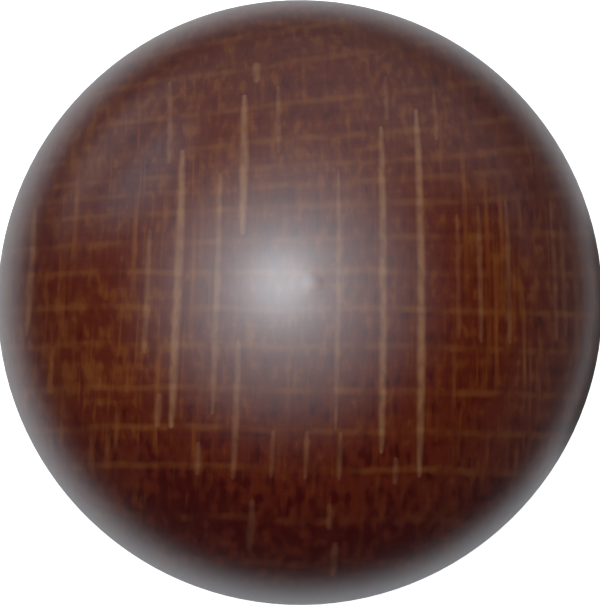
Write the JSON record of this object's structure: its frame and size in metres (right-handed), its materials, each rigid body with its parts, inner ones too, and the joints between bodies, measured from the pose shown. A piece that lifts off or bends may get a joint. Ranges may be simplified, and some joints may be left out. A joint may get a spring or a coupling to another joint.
{
  "type": "wooden ball knob",
  "caption": "Turned hardwood ball knob with a flat foot and a brass threaded sleeve in its back, for pulling a drawer, a door or a lid.",
  "frame": {"origin": "centre of the foot's flat face, which seats on the panel", "axes": "+Z along the turning axis, out through the ball; X along the growth rings and Y across them"},
  "size_m": [0.03, 0.03, 0.0308],
  "materials": {
    "stained_wood": "beech end grain, stained dark red-brown, satin lacquer",
    "brass": "bright turned brass"
  },
  "bodies": {
    "root": {"knob_body": "stained_wood", "threaded_sleeve": "brass"}
  },
  "joints": []
}
